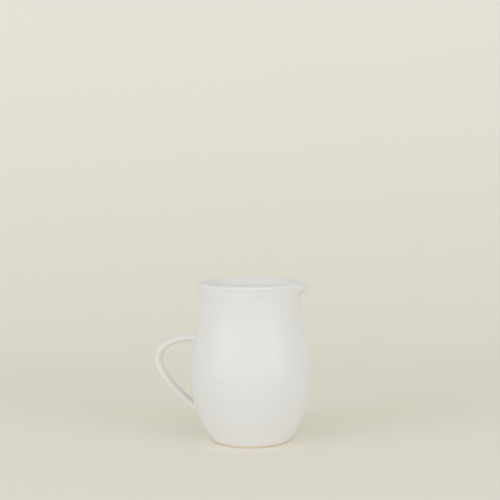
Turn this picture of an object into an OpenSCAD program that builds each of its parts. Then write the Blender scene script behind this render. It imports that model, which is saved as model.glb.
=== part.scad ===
// Wheel-thrown stoneware pitcher with a pulled spout and a strap handle.
// Sizes are millimetres, measured over the glaze. The vessel's axis is Z and the table is at Z = 0.
// The spout points along +X and the handle stands out along -X.

/* [Body] */
// Height from the table to the top of the rim
height = 150; // [130:1:200]
// Diameter of the wall where it rises from the foot
foot_d = 75; // [60:1:90]
// Greatest diameter of the belly
belly_d = 116; // [105:1:140]
// Height of the belly's widest line
belly_z = 65; // [50:1:80]
// Least diameter of the neck
neck_d = 96; // [80:1:104]
// Distance from the top of the rim down to the narrowest line of the neck
neck_drop = 27; // [18:1:40]
// Diameter over the outer edge of the rim
rim_d = 102; // [96:1:120]
// Angle at which the lip leans out from upright
lip_flare = 32; // [20:1:60]
// Angle between the table and the wall as it leaves the foot
foot_angle = 56; // [40:1:75]

/* [Wall] */
// Thickness of the wall, glaze included
wall = 4.4; // [3.4:0.1:6.5]
// Thickness of the glaze coat
glaze_t = 0.4; // [0.2:0.05:0.8]
// Thickness of the floor above the foot, glaze included
floor_t = 7; // [5:0.5:12]
// Height over which the inside wall rounds into the floor
floor_round = 12; // [6:1:20]

/* [Foot] */
// Height of the bare foot ring
foot_h = 1.5; // [1:0.5:5]
// Width of the ring that stands on the table
foot_w = 8; // [5:0.5:14]
// Bevel along the ring's two lower edges
foot_bevel = 0.6; // [0.2:0.1:0.9]

/* [Spout] */
// How far the spout's tip stands out past the rim's edge
spout_reach = 5.6; // [2:0.2:10]
// How far the tip dips below the rim
spout_dip = 2; // [0:0.5:5]
// Height of the part of the wall that is pulled out
spout_h = 13; // [8:0.5:20]
// Height over which the pull grows to its full reach
spout_swell_h = 9.5; // [4:0.5:12]
// Angle round the rim that the spout takes up
spout_angle = 60; // [40:2:90]

/* [Handle] */
// Height at which the strap leaves the shoulder
handle_top_z = 97; // [85:0.5:105]
// Height at which the strap meets the lower belly
handle_bottom_z = 26.5; // [22:0.5:40]
// Height of the strap's outermost point
handle_bow_z = 75; // [60:0.5:82]
// How far the strap's outer face stands out from the belly's side
handle_reach = 35.5; // [26:0.5:50]
// Width of the strap at its upper root
strap_top_w = 14; // [11:0.5:20]
// Width of the strap at its lower root
strap_bottom_w = 12; // [9:0.5:18]
// Thickness of the strap at its upper root
strap_top_t = 7.6; // [6:0.2:11]
// Thickness of the strap at its lower root
strap_bottom_t = 6.8; // [5:0.2:9]
// Angle above level at which the strap leaves the shoulder
handle_top_angle = -3; // [-10:1:30]
// Angle above level at which the strap runs up from its lower root
handle_bottom_angle = 42.5; // [30:0.5:48]
// How far the luting clay spreads on the wall round each root
joint_spread = 3; // [2:0.5:7]
// How far the luting clay climbs the strap from the wall
joint_climb = 5; // [3:0.5:10]

/* [Hidden] */
$fn = 96;

bare_clay = "tan";
white_glaze = "whitesmoke";

// How far each curve of the wall keeps its starting direction, as a share of the rise between its ends
foot_pull = 0.35;
belly_pull_down = 0.48;
belly_pull_up = 0.34;
neck_pull_down = 0.32;
neck_pull_up = 0.15;
lip_pull = 0.31;
// The same for the strap, out of its upper root, up and down from its bow, and out of its lower root
strap_pull_out = 0.47;
strap_pull_up = 0.75;
strap_pull_down = 0.3;
strap_pull_in = 0.54;

// Straight steps that stand for one curve of the wall, and for a quarter turn of the lip
wall_steps = 14;
lip_steps = 6;
// Steps across the spout, along one half of the strap and round the strap's section
spout_steps = 18;
strap_steps = 24;
section_steps = 20;
// Roundness of the strap's section, 1 for an ellipse and less for a fuller strap
section_power = 0.95;
// How far the strap runs on past its roots before it is cut to the wall
strap_sunk = 16;
// A small overrun, so that cutting shapes pass clean through what they cut
over = 1;
// A short height, over which a slope of the wall is read and points of its line are kept apart
short_step = 1;

// Curves and lists

// Point at share t of the cubic curve with four control points p
function curve_at(p, t) =
    pow(1 - t, 3) * p[0] + 3 * t * pow(1 - t, 2) * p[1] + 3 * t * t * (1 - t) * p[2] + pow(t, 3) * p[3];

// Direction of that curve at share t, as a unit vector
function curve_dir(p, t) =
    let (d = pow(1 - t, 2) * (p[1] - p[0]) + 2 * t * (1 - t) * (p[2] - p[1]) + t * t * (p[3] - p[2]))
    d / norm(d);

// Points along a curve, after its first one
function curve_run(p, steps) = [for (i = [1:steps]) curve_at(p, i / steps)];

function reversed(list) = [for (i = [len(list) - 1:-1:0]) list[i]];

// Items of a list from one place to another
function part_of(list, from, to) = [for (i = [from:to]) list[i]];

// Smooth step from 0 to 1
function ease(t) = let (s = min(1, max(0, t))) s * s * (3 - 2 * s);

// Wall section, as points [radius, height]

lip_r = wall / 2;
lip_c = [rim_d / 2 - lip_r, height - lip_r];
lip_foot = lip_c + lip_r * [cos(lip_flare), -sin(lip_flare)];
foot_edge = [foot_d / 2, foot_h];
belly_edge = [belly_d / 2, belly_z];
neck_edge = [neck_d / 2, height - neck_drop];
belly_rise = belly_edge.y - foot_edge.y;
shoulder_rise = neck_edge.y - belly_edge.y;
lip_rise = lip_foot.y - neck_edge.y;

foot_curve = [foot_edge,
              foot_edge + foot_pull * belly_rise * [cos(foot_angle), sin(foot_angle)],
              belly_edge - [0, belly_pull_down * belly_rise],
              belly_edge];
shoulder_curve = [belly_edge,
                  belly_edge + [0, belly_pull_up * shoulder_rise],
                  neck_edge - [0, neck_pull_down * shoulder_rise],
                  neck_edge];
lip_curve = [neck_edge,
             neck_edge + [0, neck_pull_up * lip_rise],
             lip_foot - lip_pull * lip_rise * [sin(lip_flare), cos(lip_flare)],
             lip_foot];

outside = concat([foot_edge], curve_run(foot_curve, wall_steps), curve_run(shoulder_curve, wall_steps),
                 curve_run(lip_curve, wall_steps));

// Points round the lip, from the outside edge to the crest and on to the inside edge
function lip_arc(from, to) = [for (i = [1:lip_steps]) let (a = from + (to - from) * i / lip_steps)
                              lip_c + lip_r * [cos(a), sin(a)]];
lip_outside = lip_arc(-lip_flare, 90);
lip_inside = lip_arc(90, 180 - lip_flare);

// Direction along a row of points at place i
function along(path, i) =
    let (d = path[min(i + 1, len(path) - 1)] - path[max(i - 1, 0)]) d / norm(d);

// The wall's inner face, one wall thickness in from the outside, from the lip down
inner_face = [for (i = [len(outside) - 2:-1:0]) let (d = along(outside, i))
              outside[i] + wall * [-d.y, d.x]];
inner_radii = [for (p = inner_face) [p.y, p.x]];
floor_z = foot_h + floor_t;
round_top_z = floor_z + floor_round;
round_top = [lookup(round_top_z, inner_radii), round_top_z];
round_lean = (lookup(round_top_z + short_step, inner_radii) - round_top.x) / short_step;
floor_flat = [round_top.x - floor_round, floor_z];
floor_curve = [round_top,
               round_top - floor_round / 2 * [round_lean, 1],
               floor_flat + [floor_round / 2, 0],
               floor_flat];
inside = concat([for (p = inner_face) if (p.y > round_top_z + short_step) p], [round_top],
                curve_run(floor_curve, wall_steps), [[0, floor_z]]);

// The whole glazed surface in one line: up the outside, over the lip, and down the inside to the axis
surface_line = concat(outside, lip_outside, lip_inside, inside);
crest = len(outside) + lip_steps - 1;
last = len(surface_line) - 1;

// The clay's own surface, under that line by the glaze's thickness. At the foot it is cut off level.
clay_line = [for (i = [0:last]) let (d = along(surface_line, i))
    i == 0 ? foot_edge - [glaze_t / sin(foot_angle), 0] : surface_line[i] + glaze_t * [-d.y, d.x]];
foot_clay_r = clay_line[0].x;

clay_section = concat([[0, foot_h]], clay_line);
outer_coat = concat(part_of(surface_line, 0, crest), reversed(part_of(clay_line, 0, crest)));
liner_coat = concat(part_of(surface_line, crest, last), reversed(part_of(clay_line, crest, last)));

// Radius of the glazed outside at a height, and the clear distance from a point to it
outside_radii = [for (p = outside) [p.y, p.x]];
function wall_gap(q) = norm([q.x, q.y]) - lookup(q.z, outside_radii);

// The solid within the outer face of the wall's clay, up to the lip, that the handle is cut to
module wall_core() {
    face = part_of(clay_line, 0, len(outside) - 1);
    rotate_extrude()
        polygon(concat([[0, foot_h]], face, [[0, face[len(face) - 1].y]]));
}

// Closed solid through a row of rings that have equal numbers of points. Each patch between two rings is
// split in two along one diagonal, or along the other one where the rings run the other way round.
module loft(rings, other_way = false) {
    n = len(rings[0]);
    m = len(rings);
    sides = [for (i = [0:m - 2], j = [0:n - 1]) let (a = i * n + j, b = i * n + (j + 1) % n)
             each other_way ? [[a, b, a + n], [b, b + n, a + n]] : [[a, b, b + n], [a, b + n, a + n]]];
    ends = [[for (j = [n - 1:-1:0]) j], [for (j = [0:n - 1]) (m - 1) * n + j]];
    polyhedron([for (ring = rings) each ring], concat(sides, ends), convexity = 8);
}

// Closed skin between two such rows of rings, one inside the other
module sleeve(outer_rings, inner_rings) {
    n = len(outer_rings[0]);
    m = len(outer_rings);
    k = m * n;
    sides = [for (i = [0:m - 2], j = [0:n - 1]) let (a = i * n + j, b = i * n + (j + 1) % n)
             each [[a, b, b + n], [a, b + n, a + n], [k + a, k + b + n, k + b], [k + a, k + a + n, k + b + n]]];
    ends = [for (j = [0:n - 1]) let (a = j, b = (j + 1) % n, c = (m - 1) * n + a, d = (m - 1) * n + b)
            each [[a, k + a, k + b], [a, k + b, b], [c, d, k + d], [c, k + d, k + c]]];
    polyhedron([for (ring = concat(outer_rings, inner_rings)) each ring], concat(sides, ends), convexity = 8);
}

// Spout

spout_base_z = height - spout_h;
half_spout = spout_angle / 2;

// The stretch of a section line above the spout's base, cut off square at the base
function above_base(line) = [for (i = [0:len(line) - 1])
    let (p = line[i], q = line[(i + 1) % len(line)])
    each concat(p.y >= spout_base_z ? [p] : [],
                (p.y - spout_base_z) * (q.y - spout_base_z) < 0
                    ? [p + (q - p) * (spout_base_z - p.y) / (q.y - p.y)] : [])];

// Where a point of the section stands at an angle from the spout's middle once the lip is pulled out
function pulled(p, a) =
    let (across = pow(cos(90 * a / half_spout), 2),
         up = ease((p.y - spout_base_z) / spout_swell_h),
         r = p.x + spout_reach * across * up,
         z = p.y - spout_dip * across * pow(up, 2))
    [r * cos(a), r * sin(a), z];

// The pulled part of a section, from one side of the spout to the other
module pulled_lip(section, other_way = false) {
    line = above_base(section);
    loft([for (i = [0:spout_steps]) let (a = half_spout * (2 * i / spout_steps - 1))
          [for (p = line) pulled(p, a)]], other_way);
}

// The wedge of wall that the spout takes the place of
module spout_gap() {
    rotate([0, 0, -half_spout])
        rotate_extrude(angle = spout_angle)
            translate([lookup(spout_base_z, inner_radii) / 2, spout_base_z])
                square([rim_d, spout_h + over]);
}

// Strap, in the plane Y = 0, as points [distance from the axis, height]

upper_root = [lookup(handle_top_z, outside_radii), handle_top_z];
lower_root = [lookup(handle_bottom_z, outside_radii), handle_bottom_z];
bow = [belly_d / 2 + handle_reach - strap_half(1).y, handle_bow_z];
upper_strap = [upper_root,
               upper_root + strap_pull_out * (bow.x - upper_root.x) * [1, tan(handle_top_angle)],
               bow + [0, strap_pull_up * (upper_root.y - bow.y)],
               bow];
lower_strap = [bow,
               bow - [0, strap_pull_down * (bow.y - lower_root.y)],
               lower_root + strap_pull_in * (bow.x - lower_root.x) * [1, tan(handle_bottom_angle)],
               lower_root];

// Centre, direction and half sizes of the strap at t, from 0 at the upper root to 2 at the lower one.
// Past its roots the strap runs straight on into the wall.
function strap_at(t) =
    t < 0 ? upper_root + t * strap_sunk * strap_dir(0)
    : t <= 1 ? curve_at(upper_strap, t)
    : t <= 2 ? curve_at(lower_strap, t - 1)
    : lower_root + (t - 2) * strap_sunk * strap_dir(2);
function strap_dir(t) =
    t <= 1 ? curve_dir(upper_strap, max(0, t)) : curve_dir(lower_strap, min(1, t - 1));
function strap_half(t) =
    let (s = min(1, max(0, t / 2)))
    ([strap_top_w, strap_top_t] * (1 - s) + [strap_bottom_w, strap_bottom_t] * s) / 2;

// Signed power, for a section that is fuller than an ellipse
function fuller(x) = sign(x) * pow(abs(x), section_power);

// One point of the strap's surface at t and at an angle round its section, grown by a distance
function strap_point(t, a, grow) =
    let (c = strap_at(t), d = strap_dir(t), half = strap_half(t) + [grow, grow],
         rise = half.y * fuller(cos(a)))
    [-(c.x - d.y * rise), -half.x * fuller(sin(a)), c.y + d.x * rise];

section_angles = [for (i = [0:section_steps - 1]) 360 * i / section_steps];
function strap_ring(t, grow) = [for (a = section_angles) strap_point(t, a, grow)];

// Stations along the strap, and those where all of it stands clear of the luting clay
stations = [for (i = [0:2 * strap_steps]) i / strap_steps];
free_stations = [for (t = stations)
                 if (min([for (q = strap_ring(t, 0)) wall_gap(q)]) > joint_climb) t];
free_from = free_stations[0];
free_to = free_stations[len(free_stations) - 1];

// How far the luting clay swells out from the strap at a clear distance from the wall, as a hollow curve
function swell(gap) =
    let (s = 1 - min(1, max(0, gap / joint_climb)))
    joint_spread * (1 - sqrt(1 - s * s));

// The wall's outward direction at a height, on the handle's side
function wall_out(z) =
    let (above = lookup(z + short_step, outside_radii), below = lookup(z - short_step, outside_radii),
         n = [-2 * short_step, 0, below - above])
    n / norm(n);

// Ring of the luting clay at t: it spreads along the wall, and not where the strap already lies against it
function joint_ring(t, root_z) =
    [for (a = section_angles)
     let (p = strap_point(t, a, 0), away = strap_point(t, a, 1) - p,
          share = min(1, max(0, 1 - away * wall_out(root_z))))
     strap_point(t, a, swell(wall_gap(p)) * share)];

// Stations and rings of the clay round each root
upper_stations = concat([-1], [for (t = stations) if (t <= free_from) t]);
lower_stations = concat([for (t = stations) if (t >= free_to) t], [3]);
upper_swell = [for (t = upper_stations) joint_ring(t, handle_top_z)];
lower_swell = [for (t = lower_stations) joint_ring(t, handle_bottom_z)];

// Rings of the strap's clay at some stations
function core_rings(at) = [for (t = at) strap_ring(t, -glaze_t)];

// Sub-parts

module foot_ring() {
    in_r = foot_clay_r - foot_w;
    color(bare_clay)
        rotate_extrude()
            polygon([[in_r, foot_h], [in_r, foot_bevel], [in_r + foot_bevel, 0],
                     [foot_clay_r - foot_bevel, 0], [foot_clay_r, foot_bevel], [foot_clay_r, foot_h]]);
}

module body() {
    color(bare_clay)
        difference() {
            rotate_extrude() polygon(clay_section);
            spout_gap();
        }
}

module spout() {
    color(bare_clay) pulled_lip(clay_section);
}

module handle() {
    color(bare_clay)
        difference() {
            loft(core_rings(concat([-1], stations, [3])));
            wall_core();
        }
}

module upper_joint() {
    color(white_glaze)
        difference() {
            sleeve(upper_swell, core_rings(upper_stations));
            wall_core();
        }
}

module lower_joint() {
    color(white_glaze)
        difference() {
            sleeve(lower_swell, core_rings(lower_stations));
            wall_core();
        }
}

module outer_glaze() {
    color(white_glaze)
        difference() {
            rotate_extrude() polygon(outer_coat);
            spout_gap();
            loft(upper_swell);
            loft(lower_swell);
        }
}

module liner_glaze() {
    color(white_glaze)
        difference() {
            rotate_extrude() polygon(liner_coat);
            spout_gap();
        }
}

module spout_glaze() {
    color(white_glaze) pulled_lip(concat(surface_line, reversed(clay_line)), other_way = true);
}

module handle_glaze() {
    color(white_glaze)
        sleeve([for (t = free_stations) strap_ring(t, 0)], core_rings(free_stations));
}

foot_ring();
body();
spout();
handle();
upper_joint();
lower_joint();
outer_glaze();
liner_glaze();
spout_glaze();
handle_glaze();
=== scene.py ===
import bpy
import numpy as np
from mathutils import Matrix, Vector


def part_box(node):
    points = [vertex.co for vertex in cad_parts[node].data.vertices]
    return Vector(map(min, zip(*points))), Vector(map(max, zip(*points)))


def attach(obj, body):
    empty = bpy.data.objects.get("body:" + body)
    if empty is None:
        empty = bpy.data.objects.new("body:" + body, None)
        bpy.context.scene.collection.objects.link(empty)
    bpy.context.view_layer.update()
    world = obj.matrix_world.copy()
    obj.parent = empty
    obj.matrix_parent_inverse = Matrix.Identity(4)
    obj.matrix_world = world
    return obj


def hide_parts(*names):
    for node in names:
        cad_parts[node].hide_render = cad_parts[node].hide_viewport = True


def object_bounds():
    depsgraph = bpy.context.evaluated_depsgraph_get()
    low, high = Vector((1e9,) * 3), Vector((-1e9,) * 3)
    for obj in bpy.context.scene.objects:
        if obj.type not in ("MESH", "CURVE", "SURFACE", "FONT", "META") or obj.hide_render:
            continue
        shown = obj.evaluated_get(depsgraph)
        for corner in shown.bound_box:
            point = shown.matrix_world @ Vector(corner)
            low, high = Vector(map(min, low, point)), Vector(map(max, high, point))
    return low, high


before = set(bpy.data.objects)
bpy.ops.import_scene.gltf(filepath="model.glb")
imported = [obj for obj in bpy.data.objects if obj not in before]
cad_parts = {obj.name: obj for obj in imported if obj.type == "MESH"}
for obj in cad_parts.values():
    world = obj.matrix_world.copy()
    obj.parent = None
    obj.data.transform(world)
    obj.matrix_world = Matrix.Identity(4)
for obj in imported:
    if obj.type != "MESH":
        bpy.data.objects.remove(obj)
cad_low, cad_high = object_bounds()

# Bare foot
# The underside of the thrown clay, trimmed on the wheel to a low ring round a shallow hollow.
# It is wiped clean before firing, so tan stoneware shows as a thin line above the table.

_, foot_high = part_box("foot_ring")
foot_r = foot_high.x
foot_h = foot_high.z
ring_w = 0.008
ring_bevel = 0.0004
# Height that the clay runs on under the edge of the glaze
foot_tuck = 0.003
# How far it leans out there, as a share of that height
foot_lean = 0.6
hollow_depth = 0.0005
# The spiral groove that the trimming tool leaves in the hollow
trim_pitch = 0.0046
trim_depth = 0.00022
# The clay's outline stops this far from the axis, where a fan of faces closes it
foot_hub_r = 0.0005
foot_spacing = 0.0004
foot_columns = 144


def turned(radius, height, columns):
    """Grid of a line turned round the axis: x is r cos a, y is r sin a, one row for each point."""
    angle = np.linspace(0, 2 * np.pi, columns, endpoint=False)
    return np.stack([np.outer(radius, np.cos(angle)),
                     np.outer(radius, np.sin(angle)),
                     np.outer(height, np.ones(columns))], axis=2)


def skin(name, grid):
    """Closed mesh over a grid of points that wraps round along its rows. Each end row is closed by a fan
    to the mean of its points. A face looks along the cross product of its way to the next column and
    its way to the next row."""
    rows, columns = grid.shape[:2]
    ends = grid[[0, -1]].mean(axis=1)
    points = np.concatenate([grid.reshape(-1, 3), ends])
    here = np.arange(rows * columns).reshape(rows, columns)
    after = np.roll(here, -1, axis=1)
    quads = np.stack([here[:-1], after[:-1], after[1:], here[1:]], axis=2).reshape(-1, 4)
    first = np.stack([np.full(columns, rows * columns), after[0], here[0]], axis=1)
    last = np.stack([np.full(columns, rows * columns + 1), here[-1], after[-1]], axis=1)
    corners = np.concatenate([quads.ravel(), first.ravel(), last.ravel()])
    counts = np.concatenate([np.full(len(quads), 4), np.full(2 * columns, 3)])
    starts = np.cumsum(counts) - counts
    mesh = bpy.data.meshes.new(name)
    mesh.vertices.add(len(points))
    mesh.vertices.foreach_set("co", points.ravel())
    mesh.loops.add(len(corners))
    mesh.loops.foreach_set("vertex_index", corners)
    mesh.polygons.add(len(counts))
    mesh.polygons.foreach_set("loop_start", starts)
    mesh.polygons.foreach_set("use_smooth", np.ones(len(counts), dtype=bool))
    mesh.update(calc_edges=True)
    mesh.validate()
    piece = bpy.data.objects.new(name, mesh)
    bpy.context.scene.collection.objects.link(piece)
    return piece


def spaced(line, spacing, keep_corners=False):
    """Points at even distances along a line of radius and height, with or without its own corners."""
    line = np.array(line)
    length = np.concatenate([[0], np.cumsum(np.linalg.norm(np.diff(line, axis=0), axis=1))])
    at = np.linspace(0, length[-1], int(np.ceil(length[-1] / spacing)) + 1)
    if keep_corners:
        at = np.unique(np.concatenate([at, length]))
    return np.stack([np.interp(at, length, line[:, 0]), np.interp(at, length, line[:, 1])], axis=1)


ring_in_r = foot_r - ring_w
hollow_z = foot_h + hollow_depth
tuck_top = foot_h + foot_tuck
clay_line = [(foot_hub_r, hollow_z), (ring_in_r - ring_bevel, hollow_z), (ring_in_r, foot_h),
             (ring_in_r, ring_bevel), (ring_in_r + ring_bevel, 0), (foot_r - ring_bevel, 0),
             (foot_r, ring_bevel), (foot_r, foot_h), (foot_r + foot_lean * foot_tuck, tuck_top),
             (foot_hub_r, tuck_top)]
clay_r, clay_z = spaced(clay_line, foot_spacing, keep_corners=True).T
clay_grid = turned(clay_r, clay_z, foot_columns)
# The trimming groove lies one pitch further out after each turn
clay_angle = np.arctan2(clay_grid[..., 1], clay_grid[..., 0])
in_hollow = ((clay_r < ring_in_r - ring_bevel) & (clay_z < tuck_top - ring_bevel))[:, None]
trim_turn = clay_r[:, None] / trim_pitch - clay_angle / (2 * np.pi)
clay_grid[..., 2] += in_hollow * trim_depth * np.abs(np.sin(np.pi * trim_turn))
bare_foot = skin("bare_foot", clay_grid)


def new_tree(material):
    """An empty node tree with its output and one principled shader, ready for a finish."""
    material.use_nodes = True
    tree = material.node_tree
    tree.nodes.clear()
    output = tree.nodes.new("ShaderNodeOutputMaterial")
    shader = tree.nodes.new("ShaderNodeBsdfPrincipled")
    tree.links.new(shader.outputs["BSDF"], output.inputs["Surface"])
    return tree, shader


def put(tree, kind, inputs=(), **settings):
    """A node with its settings, whose inputs are set to a value or linked to another node's output."""
    node = tree.nodes.new(kind)
    for name, value in settings.items():
        setattr(node, name, value)
    for name, value in dict(inputs).items():
        if isinstance(value, bpy.types.NodeSocket):
            tree.links.new(value, node.inputs[name])
        else:
            node.inputs[name].default_value = value
    return node


def blend_of(tree, share, low, high):
    """Colour output that goes from low to high as share goes from 0 to 1."""
    mix = put(tree, "ShaderNodeMix", data_type="RGBA")
    for name, value in (("Factor_Float", share), ("A_Color", low), ("B_Color", high)):
        socket = next(s for s in mix.inputs if s.identifier == name)
        if isinstance(value, bpy.types.NodeSocket):
            tree.links.new(value, socket)
        else:
            socket.default_value = value
    return next(s for s in mix.outputs if s.identifier == "Result_Color")


def spread(tree, value, low, high):
    """Number output that goes from low to high as value goes from 0 to 1."""
    ranged = put(tree, "ShaderNodeMapRange", {"Value": value, "To Min": low, "To Max": high})
    return ranged.outputs["Result"]


# Fired surfaces vary in two ways: soft patches from the flame and the dip, and a fine grain
fired = bpy.data.node_groups.new("fired_surface", "ShaderNodeTree")
for socket_name in ("Patch Scale", "Grain Scale"):
    fired.interface.new_socket(socket_name, in_out="INPUT", socket_type="NodeSocketFloat")
for socket_name in ("Patch", "Grain"):
    fired.interface.new_socket(socket_name, in_out="OUTPUT", socket_type="NodeSocketFloat")
fired_in = put(fired, "NodeGroupInput")
fired_out = put(fired, "NodeGroupOutput")
fired_place = put(fired, "ShaderNodeTexCoord").outputs["Object"]
patch = put(fired, "ShaderNodeTexNoise", {"Vector": fired_place, "Detail": 3.0, "Roughness": 0.5,
                                          "Scale": fired_in.outputs["Patch Scale"]})
grain = put(fired, "ShaderNodeTexNoise", {"Vector": fired_place, "Detail": 4.0, "Roughness": 0.6,
                                          "Scale": fired_in.outputs["Grain Scale"]})
fired.links.new(patch.outputs["Fac"], fired_out.inputs["Patch"])
fired.links.new(grain.outputs["Fac"], fired_out.inputs["Grain"])

clay_tan = (0.84, 0.735, 0.55, 1)
clay_dark = (0.74, 0.615, 0.43, 1)
clay_speck = (0.20, 0.13, 0.07, 1)
stoneware = bpy.data.materials.new("stoneware")
tree, shader = new_tree(stoneware)
surface = put(tree, "ShaderNodeGroup", {"Patch Scale": 60, "Grain Scale": 2200}, node_tree=fired)
place = put(tree, "ShaderNodeTexCoord").outputs["Object"]
speck = put(tree, "ShaderNodeTexVoronoi", {"Vector": place, "Scale": 700.0})
speck_share = put(tree, "ShaderNodeMapRange", {"Value": speck.outputs["Distance"], "From Min": 0.08,
                                               "From Max": 0.2, "To Min": 0.7, "To Max": 0.0})
toned = blend_of(tree, surface.outputs["Patch"], clay_dark, clay_tan)
specked = blend_of(tree, speck_share.outputs["Result"], toned, clay_speck)
tree.links.new(specked, shader.inputs["Base Color"])
rough = spread(tree, surface.outputs["Grain"], low=0.8, high=0.95)
tree.links.new(rough, shader.inputs["Roughness"])
clay_bump = put(tree, "ShaderNodeBump", {"Height": surface.outputs["Grain"],
                                         "Strength": 0.5, "Distance": 0.0003})
tree.links.new(clay_bump.outputs["Normal"], shader.inputs["Normal"])
bare_foot.data.materials.append(stoneware)
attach(bare_foot, "root")
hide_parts("foot_ring", "body")

# Glazed body
# The thrown wall with its lip and pulled spout, under one coat of satin white glaze inside and out.
# Fingers leave a faint helix of throwing rings, and the glaze breaks thin and warm on every edge.

_, coat_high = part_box("outer_glaze")
height = coat_high.z
belly_r = coat_high.y
foot_edge_r = 0.0375
belly_z = 0.065
neck_r = 0.048
neck_drop = 0.027
rim_r = 0.051
wall = 0.0044
floor_t = 0.007
floor_round = 0.012
lip_flare = np.radians(32)
foot_angle = np.radians(56)
# How far each curve of the wall keeps the direction of either end, as a share of the rise between them
foot_pull, belly_pull_down = 0.35, 0.48
belly_pull_up, neck_pull_down = 0.34, 0.32
neck_pull_up, lip_pull = 0.15, 0.31
# The pulled spout: how far it reaches and dips, and the stretch of rim and wall that it takes up
spout_reach = 0.0056
spout_dip = 0.002
spout_h = 0.013
spout_swell_h = 0.0095
half_spout = np.radians(30)
# How much lower the inner side of the drawn lip lies, which thins it towards the tip
spout_thin = 0.0015
# Throwing rings: their pitch and depth, and those of the finer lines between them
ring_pitch = 0.0064
ring_depth = 0.00006
line_pitch = 0.0021
line_depth = 0.00003
lines_a_turn = 3
# The rings' strength: its mean, swing and ripple. The lines have what it leaves of line_strength.
strength_mean, strength_swing, strength_ripple = 0.55, 0.3, 0.15
line_strength = 1.2
# The angle by which the rings run ahead of an even spacing and fall behind it
spacing_swing = 0.9
# Distances along the wall over which swing, ripple and spacing go on by a radian, and the swing's start
swing_run, ripple_run, spacing_run = 0.0083, 0.0031, 0.0052
swing_start = 1.0
# The rings begin above the foot and stop below the lip, each over a short height
ring_start = 0.002
ring_fade = 0.006
# The edge of the coat above the foot: its radius, and the height and reach of its waver
edge_r = 0.0004
edge_waver = 0.0004
edge_waver_reach = 0.004
# A thrown wall is a little out of round, growing up from the foot, and its rim a little out of level
out_of_round = 0.00025
round_from, round_growth = 0.01, 0.03
out_of_level = 0.0002
level_growth = 0.03
wall_columns = 180
outside_spacing = 0.00056
inside_spacing = 0.0011
lip_points = 80
edge_points = 9
body_hub_r = 0.0006


def curve(points, steps=400):
    """Points of the cubic curve with four control points, and its unit directions."""
    p = np.array(points)
    t = np.linspace(0, 1, steps)[:, None]
    at = (1 - t) ** 3 * p[0] + 3 * t * (1 - t) ** 2 * p[1] + 3 * t ** 2 * (1 - t) * p[2] + t ** 3 * p[3]
    way = (1 - t) ** 2 * (p[1] - p[0]) + 2 * t * (1 - t) * (p[2] - p[1]) + t ** 2 * (p[3] - p[2])
    return at, way / np.linalg.norm(way, axis=1, keepdims=True)


def ease(share):
    """Smooth step from 0 to 1."""
    s = np.clip(share, 0, 1)
    return s * s * (3 - 2 * s)


def arc(centre, radius, turns):
    """Points round a centre at some angles."""
    return centre + radius * np.stack([np.cos(turns), np.sin(turns)], axis=1)


neck_z = height - neck_drop
lip_r = wall / 2
lip_centre = np.array([rim_r - lip_r, height - lip_r])
lip_foot = lip_centre + lip_r * np.array([np.cos(lip_flare), -np.sin(lip_flare)])
foot_edge = np.array([foot_edge_r, foot_h])
belly = np.array([belly_r, belly_z])
neck = np.array([neck_r, neck_z])
up = np.array([0.0, 1.0])
belly_rise = belly_z - foot_h
shoulder_rise = neck_z - belly_z
lip_rise = lip_foot[1] - neck_z
foot_way = np.array([np.cos(foot_angle), np.sin(foot_angle)])
lip_way = np.array([np.sin(lip_flare), np.cos(lip_flare)])
runs = [curve([foot_edge, foot_edge + foot_pull * belly_rise * foot_way,
               belly - belly_pull_down * belly_rise * up, belly]),
        curve([belly, belly + belly_pull_up * shoulder_rise * up,
               neck - neck_pull_down * shoulder_rise * up, neck]),
        curve([neck, neck + neck_pull_up * lip_rise * up,
               lip_foot - lip_pull * lip_rise * lip_way, lip_foot])]
outside = np.concatenate([run[0][:-1] for run in runs] + [lip_foot[None]])
outside_way = np.concatenate([run[1][:-1] for run in runs] + [runs[-1][1][-1:]])
lip = arc(lip_centre, lip_r, np.linspace(-lip_flare, np.pi - lip_flare, lip_points)[1:-1])
# The inner face lies one wall thickness in. It rounds into the floor from the way of its last points.
last_points = 20
floor_z = foot_h + floor_t
inner = (outside + wall * np.stack([-outside_way[:, 1], outside_way[:, 0]], axis=1))[::-1]
inner = inner[inner[:, 1] > floor_z + floor_round]
round_top = inner[-1]
above_round = inner[-last_points]
round_way = (round_top - above_round) / np.linalg.norm(round_top - above_round)
floor_edge = np.array([round_top[0] - floor_round, floor_z])
floor_run = curve([round_top, round_top + floor_round / 2 * round_way,
                   floor_edge + [floor_round / 2, 0], floor_edge])[0][1:]
inside = np.concatenate([inner, floor_run, [[body_hub_r, floor_z]]])
# At the foot the coat turns in to a rounded edge, and a hidden cap inside the clay closes it
edge_centre = foot_edge + edge_r * np.array([-np.sin(foot_angle), np.cos(foot_angle)])
edge = arc(edge_centre, edge_r, np.linspace(-np.pi, -foot_angle / 2, edge_points))
cap_z = foot_h + foot_tuck / 2
cap_inset = 0.0003
cap = np.array([[body_hub_r, cap_z], [foot_r / 2, cap_z], [foot_r - cap_inset, cap_z]])
rise_from = np.argmax(outside[:, 1] > edge[-1, 1])
# The whole coat in one line, from the cap up the outside, over the lip and down the inside
parts = [cap, edge, spaced(outside[rise_from:], outside_spacing), spaced(lip, outside_spacing / 2),
         spaced(inside, inside_spacing)]
cap_part, edge_part, outside_part, lip_part, inside_part = range(len(parts))
line = np.concatenate(parts)
part_of_row = np.repeat(np.arange(len(parts)), [len(part) for part in parts])
way = np.gradient(line, axis=0)
way /= np.linalg.norm(way, axis=1, keepdims=True)
out = np.stack([way[:, 1], -way[:, 0]], axis=1)


def rows_of(*wanted):
    """1 for each row of the coat that belongs to one of the wanted parts, and 0 for the others."""
    return np.isin(part_of_row, wanted)[:, None]


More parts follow.
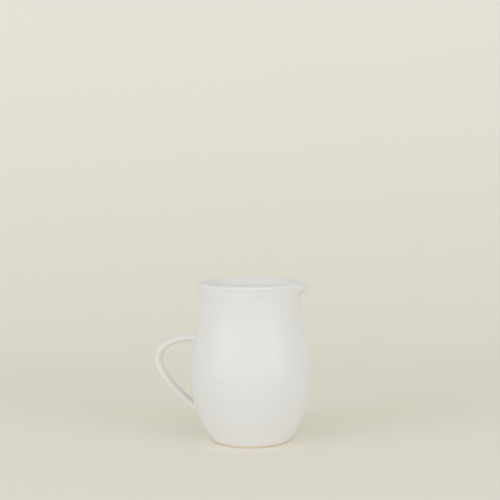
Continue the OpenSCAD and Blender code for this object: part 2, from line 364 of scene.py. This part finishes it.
def waver(angle, seed, turns):
    """Smooth random wave round the axis, between 0 and 1: a sum of cosines of whole turns."""
    dice = np.random.default_rng(seed)
    count = np.arange(1, turns + 1)
    share = dice.normal(size=turns) / np.sqrt(count)
    lag = dice.uniform(0, 2 * np.pi, turns)
    wave = (share * np.cos(np.multiply.outer(angle, count) + lag)).sum(axis=-1)
    return 0.5 + 0.5 * wave / np.abs(share).sum()


def groove(run, angle):
    """Depth of the throwing rings and of the finer lines as shares, 0 on a crest and up to 1 in a groove.
    The rings are a helix that climbs one pitch a turn, the lines climb three of theirs, and where the
    rings are weaker the lines show more."""
    turn = 2 * np.pi * run / ring_pitch + angle
    swing = strength_swing * np.sin(run / swing_run + swing_start)
    ripple = strength_ripple * np.sin(run / ripple_run + angle)
    strength = strength_mean + swing + ripple
    ring = 0.5 - 0.5 * np.cos(turn + spacing_swing * np.sin(run / spacing_run))
    fine = 0.5 - 0.5 * np.cos(2 * np.pi * run / line_pitch + lines_a_turn * angle)
    return ring * strength, fine * (line_strength - strength)


angle = np.linspace(0, 2 * np.pi, wall_columns, endpoint=False)
column = angle[None, :]
row_r = line[:, :1]
row_z = line[:, 1:]
above_foot = row_z - foot_h
below_top = height - row_z
run = np.where(rows_of(inside_part), row_z - row_r, row_z)
ring, fine = groove(run, column)
thrown = rows_of(outside_part, inside_part) * ease((below_top - ring_fade) / ring_fade)
thrown = thrown * np.where(rows_of(outside_part), ease((above_foot - ring_start) / ring_fade), 1)
sunk = thrown * (ring_depth * ring + line_depth * fine)
wall_r = row_r - sunk * out[:, :1]
wall_z = row_z - sunk * out[:, 1:]
wall_r = wall_r - out_of_round * waver(column, seed=3, turns=3) * ease((row_z - round_from) / round_growth)
wall_z = wall_z - out_of_level * waver(column, seed=5, turns=4) * ease(1 - below_top / level_growth)
# The edge of the glaze wavers above the foot, and moves along the slope of the wall
lifted = rows_of(edge_part, outside_part) * (1 - ease(above_foot / edge_waver_reach))
edge_lift = edge_waver * lifted * waver(column, seed=8, turns=9)
wall_z = wall_z + edge_lift
wall_r = wall_r + edge_lift / np.tan(foot_angle)
# The spout: the lip is drawn out and down, most in the middle, and more towards the top.
# Its inner side goes down further, so the lip thins towards the tip.
from_spout = np.clip(np.abs((column + np.pi) % (2 * np.pi) - np.pi) / half_spout, 0, 1)
across = np.cos(np.pi / 2 * from_spout) ** 2
pulled = ease((spout_h - below_top) / spout_swell_h)
row_number = np.arange(len(line))
lip_from, lip_to = row_number[part_of_row == lip_part][[0, -1]]
over_lip = ease((row_number - lip_from) / (lip_to - lip_from))[:, None]
wall_r = wall_r + spout_reach * across * pulled
wall_z = wall_z - (spout_dip + spout_thin * over_lip) * across * pulled ** 2
wall_grid = np.stack([wall_r * np.cos(column), wall_r * np.sin(column), wall_z * np.ones_like(column)],
                     axis=2)
glazed_body = skin("glazed_body", wall_grid)


def mark(piece, name, share):
    """Stores a share for each point of the grid, for the finish to read. The two end points get none."""
    stored = piece.data.attributes.new(name, "FLOAT", "POINT")
    stored.data.foreach_set("value", np.concatenate([share.ravel(), [0, 0]]).astype(np.float32))


# Glaze runs thin off the lip, off its lower edge and off the crests of the rings: heights and shares
lip_break_h = 0.0035
edge_break_h, edge_break = 0.002, 0.5
ring_break, line_break = 0.14, 0.05
near_lip = rows_of(lip_part) * np.clip(1 - np.abs(below_top) / lip_break_h, 0, 1)
near_edge = edge_break * rows_of(edge_part, outside_part) * (1 - ease(above_foot / edge_break_h))
crest = thrown * (ring_break * (1 - ring) + line_break * (1 - fine))
mark(glazed_body, "thin_and_painted_bounce", np.clip(near_lip + near_edge + crest, 0, 1) * np.ones_like(column))
# It is poured thick inside. Outside it gathers under the lip, and runs down before it sets. The paler
# thick coat is also painted fill light in these shaded places: the inside, under the lip and low on the
# wall.
poured_h, poured_share = 0.004, 0.88
gather_from, gather_h, gather_share = 0.011, 0.007, 0.55
run_down_h, run_down_share = 0.045, 0.75
poured_and_painted_fill = poured_share * rows_of(inside_part) * ease(below_top / poured_h)
gathered_and_painted_fill = gather_share * rows_of(outside_part) * ease((gather_from - below_top) / gather_h)
run_down_and_painted_fill = run_down_share * rows_of(outside_part) * (1 - ease(above_foot / run_down_h))
mark(glazed_body, "thick_and_painted_fill", (poured_and_painted_fill + gathered_and_painted_fill + run_down_and_painted_fill) * np.ones_like(column))

glaze_white = (0.78, 0.786, 0.796, 1)
glaze_milky = (0.80, 0.806, 0.816, 1)
glaze_thick_and_painted_fill = (0.885, 0.888, 0.888, 1)
glaze_warm_and_painted_bounce = (0.88, 0.83, 0.74, 1)
# How much rougher the glaze is where it has broken thin
broken_dryness = 0.5
satin_white = bpy.data.materials.new("satin_white")
tree, shader = new_tree(satin_white)
surface = put(tree, "ShaderNodeGroup", {"Patch Scale": 38, "Grain Scale": 900}, node_tree=fired)
thin_and_painted_bounce = put(tree, "ShaderNodeAttribute", attribute_name="thin_and_painted_bounce").outputs["Fac"]
thick_and_painted_fill = put(tree, "ShaderNodeAttribute", attribute_name="thick_and_painted_fill").outputs["Fac"]
broken_and_painted_bounce = put(tree, "ShaderNodeMath", {0: thin_and_painted_bounce, 1: surface.outputs["Patch"]}, operation="MULTIPLY")
milky = blend_of(tree, surface.outputs["Patch"], glaze_milky, glaze_white)
# Paler where the glaze is thick; inside, under the lip and low on the wall this is also painted fill light
coated_and_painted_fill = blend_of(tree, thick_and_painted_fill, milky, glaze_thick_and_painted_fill)
# Warm where the glaze breaks thin; on the strap's inner side this warmth is painted bounce light
glazed = blend_of(tree, broken_and_painted_bounce.outputs["Value"], coated_and_painted_fill, glaze_warm_and_painted_bounce)
tree.links.new(glazed, shader.inputs["Base Color"])
satin = spread(tree, surface.outputs["Patch"], low=0.32, high=0.44)
drier = put(tree, "ShaderNodeMath", {0: broken_and_painted_bounce.outputs["Value"], 1: broken_dryness, 2: satin},
            operation="MULTIPLY_ADD")
tree.links.new(drier.outputs["Value"], shader.inputs["Roughness"])
glaze_bump = put(tree, "ShaderNodeBump", {"Height": surface.outputs["Grain"],
                                          "Strength": 0.12, "Distance": 0.0002})
tree.links.new(glaze_bump.outputs["Normal"], shader.inputs["Normal"])
glazed_body.data.materials.append(satin_white)
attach(glazed_body, "root")
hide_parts("outer_glaze", "liner_glaze", "spout", "spout_glaze")

# Strap handle
# A pulled strap of clay, luted to the shoulder and the lower belly while both were soft.
# The clay is worked out round each root into a hollow fillet, and the glaze covers it all.

handle_top_z = 0.097
handle_bottom_z = 0.0265
handle_bow_z = 0.075
handle_far_x = -cad_low.x
# Width and thickness of the strap at its two roots
strap_top = np.array([0.014, 0.0076])
strap_bottom = np.array([0.012, 0.0068])
handle_top_angle = np.radians(-3)
handle_bottom_angle = np.radians(42.5)
# The fillet round each root: how far it spreads along the wall and climbs up the strap
joint_spread = 0.003
joint_climb = 0.005
# At a power of 1 the section of the strap is an ellipse, and below 1 it is fuller
section_power = 0.95
# How far the strap keeps its direction at its upper root, above and below its bow, and at its lower root
strap_pull_out, strap_pull_up = 0.47, 0.75
strap_pull_down, strap_pull_in = 0.3, 0.54
strap_rows = 300
strap_columns = 96
# Lines that the wet hand leaves along the strap: their depth and number, and how they sway
draw_depth = 0.00009
draw_lines = 7
draw_sway, draw_sways = 0.4, 9
# How far the strap runs on into the wall before it is cut, and how far its ends sink into the coat
sunk_length = 0.016
root_sink = 0.0012
# A short distance, over which a slope or a direction is read, and the least length to divide by
short_step = 0.0005
least_length = 1e-6


def outside_r(z):
    """Radius of the glazed outside at a height."""
    return np.interp(z, outside[:, 1], outside[:, 0])


strap_mid = (strap_top + strap_bottom) / 2
upper_root = np.array([outside_r(handle_top_z), handle_top_z])
lower_root = np.array([outside_r(handle_bottom_z), handle_bottom_z])
bow = np.array([handle_far_x - strap_mid[1] / 2, handle_bow_z])
out_at_top = np.array([1, np.tan(handle_top_angle)])
out_at_bottom = np.array([1, np.tan(handle_bottom_angle)])
upper_run = curve([upper_root, upper_root + strap_pull_out * (bow[0] - upper_root[0]) * out_at_top,
                   bow + strap_pull_up * (upper_root[1] - bow[1]) * up, bow])
lower_run = curve([bow, bow - strap_pull_down * (bow[1] - lower_root[1]) * up,
                   lower_root + strap_pull_in * (bow[0] - lower_root[0]) * out_at_bottom, lower_root])
# The strap's middle line and its directions, with a straight stretch into the wall at either end.
# Along it t goes from 0 at the upper root to 1 at the bow and 2 at the lower root.
path = np.concatenate([upper_run[0][:1] - sunk_length * upper_run[1][:1], upper_run[0], lower_run[0][1:],
                       lower_run[0][-1:] + sunk_length * lower_run[1][-1:]])
path_way = np.concatenate([upper_run[1][:1], upper_run[1], lower_run[1][1:], lower_run[1][-1:]])
path_t = np.concatenate([[-1], np.linspace(0, 2, len(path) - 2), [3]])


def strap_surface(t, turn, grow=0.0):
    """Point of the strap at t and at an angle round its section, grown by a distance: the middle line,
    plus the thickness along the path's normal and the width along Y."""
    middle = [np.interp(t, path_t, path[:, k]) for k in (0, 1)]
    heading = [np.interp(t, path_t, path_way[:, k]) for k in (0, 1)]
    share = np.clip(t / 2, 0, 1)
    half_w = (strap_top[0] * (1 - share) + strap_bottom[0] * share) / 2 + grow
    half_t = (strap_top[1] * (1 - share) + strap_bottom[1] * share) / 2 + grow
    full_cos = np.sign(np.cos(turn)) * np.abs(np.cos(turn)) ** section_power
    full_sin = np.sign(np.sin(turn)) * np.abs(np.sin(turn)) ** section_power
    rise = half_t * full_cos
    return np.stack([-(middle[0] - heading[1] * rise), -half_w * full_sin, middle[1] + heading[0] * rise],
                    axis=-1)


def wall_gap(point):
    """Clear distance from a point to the glazed wall, measured level."""
    return np.hypot(point[..., 0], point[..., 1]) - outside_r(point[..., 2])


def wall_out(point):
    """Outward direction of the wall nearest to a point."""
    above = outside_r(point[..., 2] + short_step)
    below = outside_r(point[..., 2] - short_step)
    lean = (above - below) / (2 * short_step)
    radius = np.hypot(point[..., 0], point[..., 1])
    outward = np.stack([point[..., 0] / radius, point[..., 1] / radius, -lean], axis=-1)
    return outward / np.linalg.norm(outward, axis=-1, keepdims=True)


def meets_wall(turn, sunk_t, clear_t, halvings=40):
    """The t at which each line along the strap comes to the wall, found by halving the stretch between
    a t where the strap is inside the wall and one where it is clear of it."""
    low = np.full_like(turn, sunk_t)
    high = np.full_like(turn, clear_t)
    for _ in range(halvings):
        middle = (low + high) / 2
        clear = wall_gap(strap_surface(middle, turn)) > 0
        high = np.where(clear, middle, high)
        low = np.where(clear, low, middle)
    return high


# The columns go round from the top towards +Y, so that the faces look out
turn = np.linspace(0, -2 * np.pi, strap_columns, endpoint=False)
starts = meets_wall(turn, sunk_t=-1.0, clear_t=0.8)
ends = meets_wall(turn, sunk_t=3.0, clear_t=1.2)
# Rows lie close together at both roots, where the fillet turns
even = np.linspace(0, 1, strap_rows)[:, None]
packed = (1 - np.cos(np.pi * even)) / 2
t = starts + (ends - starts) * packed
strap = strap_surface(t, turn)
normal = strap_surface(t, turn, short_step) - strap
normal /= np.linalg.norm(normal, axis=-1, keepdims=True)
# The fillet swells sideways along the wall as a hollow quarter curve, less where the strap runs along it
gap = np.maximum(wall_gap(strap), 0)
away = wall_out(strap)
facing = (normal * away).sum(axis=-1, keepdims=True)
sideways = normal - facing * away
sideways /= np.maximum(np.linalg.norm(sideways, axis=-1, keepdims=True), least_length)
near = np.clip(1 - gap / joint_climb, 0, 1)
fillet = joint_spread * (1 - np.sqrt(1 - near ** 2))
swollen = strap + fillet[..., None] * np.clip(1 - facing, 0, 1) * sideways
# The wall is round, so each point of the fillet goes back to its own distance from it
swollen -= (wall_gap(swollen) - gap)[..., None] * wall_out(swollen)
free = ease(gap / joint_climb)
drawn = draw_depth * free * (0.5 + 0.5 * np.cos(draw_lines * turn + draw_sway * np.sin(draw_sways * t)))
swollen -= drawn[..., None] * normal
upper_end = swollen[:1] - root_sink * wall_out(swollen[:1])
lower_end = swollen[-1:] - root_sink * wall_out(swollen[-1:])
strap_handle = skin("strap_handle", np.concatenate([upper_end, swollen, lower_end]))
# The glaze runs thin on the narrow strap, thinnest along its sides. Its warmer inner side is painted warm
# bounce light, and the glaze gathers inside the bow, where its paler colour is also painted fill light
strap_break, inner_painted_bounce, side_break = 0.3, 0.2, 0.7
side_power = 6
bow_end, bow_fade = 1.1, 0.5
inner_side = -np.cos(turn)
strap_side = np.abs(np.sin(turn)) ** side_power
strap_thin_and_painted_bounce = (strap_break + inner_painted_bounce * inner_side + side_break * strap_side) * free
strap_gather_and_painted_fill = np.clip(inner_side, 0, 1) * (1 - ease((t - bow_end) / bow_fade)) * free
root_row = np.zeros((1, strap_columns))
mark(strap_handle, "thin_and_painted_bounce", np.concatenate([root_row, strap_thin_and_painted_bounce, root_row]))
mark(strap_handle, "thick_and_painted_fill", np.concatenate([root_row, strap_gather_and_painted_fill, root_row]))
strap_handle.data.materials.append(satin_white)
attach(strap_handle, "root")
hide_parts("handle", "handle_glaze", "upper_joint", "lower_joint")

# Table and backdrop
# A pale matt sweep of paper, level under the pitcher and curving up behind it.
# It is one wide sheet, turned with the camera so that it runs straight across the view.

camera_turn = np.radians(10)
sweep_half_w = 3.0
sweep_front = 2.0
sweep_back = 0.35
sweep_bend = 0.9
sweep_top = 3.0
level_points = 30
bend_points = 40
bend_turn = np.linspace(0, np.pi / 2, bend_points)[1:]
sweep_y = np.concatenate([np.linspace(-sweep_front, sweep_back, level_points),
                          sweep_back + sweep_bend * np.sin(bend_turn), [sweep_back + sweep_bend]])
sweep_z = np.concatenate([np.zeros(level_points), sweep_bend * (1 - np.cos(bend_turn)), [sweep_top]])
level_x = np.array([[-sweep_half_w, sweep_half_w]])
level_y = sweep_y[:, None]
sweep_points = np.stack([level_x * np.cos(camera_turn) - level_y * np.sin(camera_turn),
                         level_x * np.sin(camera_turn) + level_y * np.cos(camera_turn),
                         np.repeat(sweep_z[:, None], 2, axis=1)], axis=2).reshape(-1, 3)
left = 2 * np.arange(len(sweep_y) - 1)
sweep_faces = np.stack([left, left + 1, left + 3, left + 2], axis=1)
sweep_mesh = bpy.data.meshes.new("sweep")
sweep_mesh.from_pydata(sweep_points.tolist(), [], sweep_faces.tolist())
sweep_mesh.polygons.foreach_set("use_smooth", np.ones(len(sweep_faces), dtype=bool))
sweep = bpy.data.objects.new("sweep", sweep_mesh)
bpy.context.scene.collection.objects.link(sweep)

paper_floor = (0.868, 0.847, 0.772, 1)
# The paper is painted paler as it rises up the backdrop: painted light, where the lamps fall more fully on
# the upright sheet than on the level floor
paper_back_painted_light = (0.918, 0.900, 0.850, 1)
painted_light_top_z = 0.6
# Close round the foot the paper is painted paler: painted bounce light, for the light that passes many
# times between paper and glaze
paper_painted_bounce = (0.93, 0.897, 0.805, 1)
painted_bounce_w = 0.03
paper = bpy.data.materials.new("paper")
tree, shader = new_tree(paper)
place = put(tree, "ShaderNodeTexCoord").outputs["Object"]
rise = put(tree, "ShaderNodeSeparateXYZ", {"Vector": place}).outputs["Z"]
paper_rise = put(tree, "ShaderNodeMapRange", {"Value": rise, "From Min": 0.0, "From Max": painted_light_top_z})
level = put(tree, "ShaderNodeVectorMath", {0: place, 1: (1, 1, 0)}, operation="MULTIPLY")
from_axis = put(tree, "ShaderNodeVectorMath", {0: level.outputs["Vector"]}, operation="LENGTH")
painted_bounce_share = put(tree, "ShaderNodeMapRange", {"Value": from_axis.outputs["Value"], "From Min": foot_r,
                                             "From Max": foot_r + painted_bounce_w, "To Min": 1.0, "To Max": 0.0},
                interpolation_type="SMOOTHSTEP")
paper_tone_and_painted_light = blend_of(tree, paper_rise.outputs["Result"], paper_floor, paper_back_painted_light)
paper_colour = blend_of(tree, painted_bounce_share.outputs["Result"], paper_tone_and_painted_light, paper_painted_bounce)
tree.links.new(paper_colour, shader.inputs["Base Color"])
shader.inputs["Roughness"].default_value = 0.9
shader.inputs["Specular IOR Level"].default_value = 0.1
sweep.data.materials.append(paper)

# Light
# Two large soft boxes stand left and right of the camera, the left one stronger.
# A dimmer panel behind the camera and the walls of a pale room fill the shadows.

cool_white = (0.97, 0.985, 1.12)
room_white = (1, 0.99, 0.89, 1)


def soft_box(name, bearing, distance, centre_z, width, tall, watts):
    """Area lamp at a bearing in degrees from the camera's side of the pitcher, turned to face it."""
    lamp = bpy.data.lights.new(name, "AREA")
    lamp.shape = "RECTANGLE"
    lamp.size = width
    lamp.size_y = tall
    lamp.energy = watts
    lamp.color = cool_white
    box = bpy.data.objects.new(name, lamp)
    at = camera_turn + np.radians(bearing)
    box.location = (distance * np.sin(at), -distance * np.cos(at), centre_z)
    aim_z = height / 2
    box.rotation_euler = (np.pi / 2 - np.arctan2(centre_z - aim_z, distance), 0, at)
    bpy.context.scene.collection.objects.link(box)


soft_box("left_box", bearing=-55, distance=2.25, centre_z=0.86, width=1.5, tall=1.5, watts=11.7)
soft_box("right_box", bearing=48, distance=2.25, centre_z=0.79, width=1.5, tall=1.5, watts=10.4)
soft_box("front_panel", bearing=0, distance=2.4, centre_z=0.9, width=2.4, tall=1.75, watts=5.8)
world = bpy.data.worlds.new("pale_room")
bpy.context.scene.world = world
world.use_nodes = True
world.node_tree.nodes["Background"].inputs["Color"].default_value = room_white
world.node_tree.nodes["Background"].inputs["Strength"].default_value = 0.63

# Camera
# It stands about a metre off, a hand above the rim, and a little towards the spout's side.
# It looks slightly down, and leans a little to the right.

camera_distance = 0.992
camera_z = 0.2468
camera_pitch = np.radians(3.85)
camera_roll = np.radians(0.55)
focal_pixels = 1056
picture_pixels = 500
camera_data = bpy.data.cameras.new("camera")
camera_data.sensor_width = 36
camera_data.shift_x = 0.0018
camera_data.lens = camera_data.sensor_width * focal_pixels / picture_pixels
camera = bpy.data.objects.new("camera", camera_data)
camera.location = (camera_distance * np.sin(camera_turn), -camera_distance * np.cos(camera_turn), camera_z)
camera.rotation_euler = (np.pi / 2 - camera_pitch, camera_roll, camera_turn)
bpy.context.scene.collection.objects.link(camera)
bpy.context.scene.camera = camera
bpy.context.scene.view_settings.view_transform = "Standard"

bpy.context.view_layer.update()
